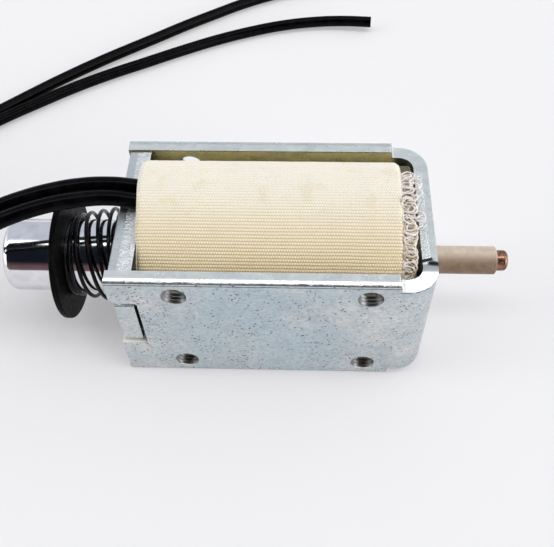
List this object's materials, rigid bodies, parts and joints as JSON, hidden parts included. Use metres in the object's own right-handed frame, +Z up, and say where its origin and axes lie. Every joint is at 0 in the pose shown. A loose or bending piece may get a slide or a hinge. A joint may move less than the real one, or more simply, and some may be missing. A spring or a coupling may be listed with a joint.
{
  "type": "push-pull solenoid",
  "caption": "Open-frame push-pull solenoid: bent steel frame, taped coil, spring-returned plunger with a washer, sleeved push rod and two sleeved leads.",
  "frame": {"origin": "centre of the base, under the middle of the length from plunger end to rod tip, leads left out", "axes": "+X along the plunger axis towards the push rod, +Z up, -Y is the wall nearer the viewer"},
  "size_m": [0.1521, 0.1434, 0.0384],
  "materials": {
    "zinc_steel": "satin zinc plating",
    "core_steel": "turned",
    "brass": "drawn",
    "fibre": "matte fibre board",
    "paper": "matte",
    "copper_wire": "enamelled",
    "felt": "matte",
    "crimp": "tinned",
    "woven_tape": "woven",
    "frayed_tape": "frayed",
    "lead_sleeve": "satin",
    "spring_wire": "gloss black",
    "plunger_steel": "polished",
    "clip_steel": "black oxide",
    "black_washer": "matte black",
    "rod_metal": "polished",
    "rod_sleeve": "matte"
  },
  "bodies": {
    "housing": {"frame": "zinc_steel", "end_plate": "zinc_steel", "fixed_core": "core_steel", "residual_shim": "brass", "guide_tube": "brass", "former_tube": "fibre", "left_cheek": "fibre", "right_cheek": "fibre", "inner_insulation": "paper", "winding": "copper_wire", "lead_pad": "felt", "splice_a": "crimp", "splice_b": "crimp", "coil_wrap": "woven_tape", "tape_fringe": "frayed_tape", "lead_a": "lead_sleeve", "lead_b": "lead_sleeve", "return_spring": "spring_wire"},
    "plunger_assembly": {"plunger": "plunger_steel", "retaining_clip": "clip_steel", "spring_washer": "black_washer", "push_rod": "rod_metal", "rod_sleeve": "rod_sleeve"}
  },
  "joints": [
    {"name": "plunger_slide", "type": "slide", "parent": "housing", "child": "plunger_assembly", "axis": [1, 0, 0], "range_m": [0, 0.006], "stiffness_N_per_m": 120, "deforming": ["return_spring"]}
  ]
}
